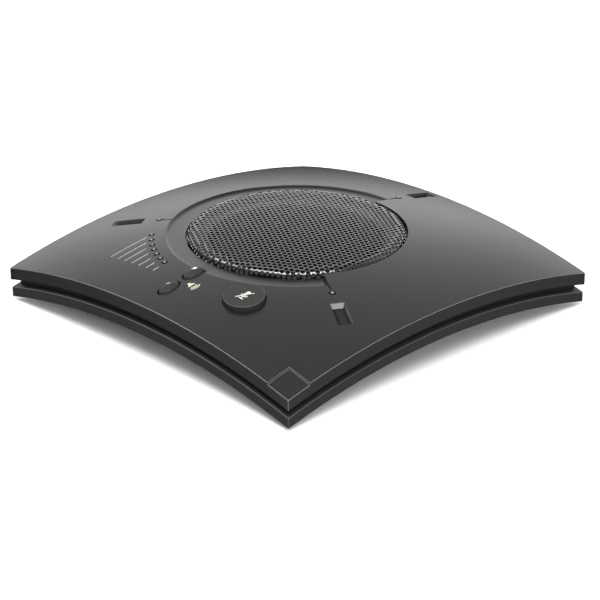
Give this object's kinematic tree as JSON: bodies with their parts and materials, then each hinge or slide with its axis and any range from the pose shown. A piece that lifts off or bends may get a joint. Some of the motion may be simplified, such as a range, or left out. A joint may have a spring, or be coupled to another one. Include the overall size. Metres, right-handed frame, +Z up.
{
  "type": "conference speakerphone",
  "caption": "Square tabletop conference speakerphone with arched shells, a round perforated speaker grille, microphone windows, level lights, a mute button and volume buttons.",
  "frame": {"origin": "on the table, under the centre of the square body", "axes": "+Z up, -Y towards the user and the controls, +X to the right of the controls"},
  "size_m": [0.24, 0.24, 0.0507],
  "materials": {
    "upper_shell_plastic": "satin charcoal, very fine moulded grain",
    "lower_shell_plastic": "matt dark charcoal",
    "black_plastic": "matt black",
    "grille_steel": "satin black paint on perforated steel",
    "key_rubber": "soft matt dark grey",
    "clear_plastic": "clear polished light pipe",
    "black_rubber": "matt black",
    "acoustic_foam": "open dark acoustic mesh",
    "zinc_steel": "bright zinc plate",
    "circuit_board": "green solder mask",
    "chip_plastic": "black moulding compound",
    "label_paper": "blank dark label",
    "copper": "enamelled copper winding",
    "red_wire": "red wire insulation"
  },
  "bodies": {
    "housing": {"upper_shell": "upper_shell_plastic", "lower_shell": "lower_shell_plastic", "core_band": "black_plastic", "rating_label": "label_paper", "speaker_grille": "grille_steel", "speaker_gasket": "acoustic_foam", "speaker_basket": "grille_steel", "speaker_magnet": "zinc_steel", "speaker_surround": "black_rubber", "speaker_lead": "red_wire", "main_board": "circuit_board", "signal_chip": "chip_plastic", "amplifier_chip": "chip_plastic", "capacitor_1": "chip_plastic", "capacitor_2": "chip_plastic", "usb_socket": "zinc_steel", "power_jack": "black_plastic", "expansion_socket": "black_plastic", "control_board": "circuit_board", "control_ribbon": "black_plastic", "mute_switch": "chip_plastic", "volume_up_switch": "chip_plastic", "volume_down_switch": "chip_plastic", "level_light_guide": "clear_plastic", "level_led_strip": "clear_plastic", "level_board": "circuit_board", "foot_1": "black_rubber", "case_screw_1": "zinc_steel", "speaker_screw_1": "zinc_steel", "foot_2": "black_rubber", "case_screw_2": "zinc_steel", "speaker_screw_2": "zinc_steel", "foot_3": "black_rubber", "case_screw_3": "zinc_steel", "speaker_screw_3": "zinc_steel", "foot_4": "black_rubber", "case_screw_4": "zinc_steel", "speaker_screw_4": "zinc_steel", "status_light_1": "clear_plastic", "mic_window_1": "acoustic_foam", "mic_boot_1": "black_rubber", "mic_capsule_1": "zinc_steel", "mic_board_1": "circuit_board", "status_light_2": "clear_plastic", "mic_window_2": "acoustic_foam", "mic_boot_2": "black_rubber", "mic_capsule_2": "zinc_steel", "mic_board_2": "circuit_board", "status_light_3": "clear_plastic", "mic_window_3": "acoustic_foam", "mic_boot_3": "black_rubber", "mic_capsule_3": "zinc_steel", "mic_board_3": "circuit_board"},
    "mute_key": {"mute_button": "key_rubber"},
    "volume_up_key": {"volume_up_button": "key_rubber"},
    "volume_down_key": {"volume_down_button": "key_rubber"},
    "cone_assembly": {"speaker_cone": "black_plastic", "speaker_dust_cap": "black_plastic", "voice_coil": "copper"}
  },
  "joints": [
    {"name": "mute_press", "type": "slide", "parent": "housing", "child": "mute_key", "axis": [-0.0876, 0.1625, -0.9828], "range_m": [0, 0.001], "stiffness_N_per_m": 1200},
    {"name": "volume_up_press", "type": "slide", "parent": "housing", "child": "volume_up_key", "axis": [-0.0016, 0.1614, -0.9869], "range_m": [0, 0.001], "stiffness_N_per_m": 1200},
    {"name": "volume_down_press", "type": "slide", "parent": "housing", "child": "volume_down_key", "axis": [-0.0016, 0.1982, -0.9802], "range_m": [0, 0.001], "stiffness_N_per_m": 1200},
    {"name": "cone_travel", "type": "slide", "parent": "housing", "child": "cone_assembly", "axis": [0, 0, 1], "range_m": [-0.0012, 0.0012], "stiffness_N_per_m": 3000, "deforming": ["speaker_surround"]}
  ]
}
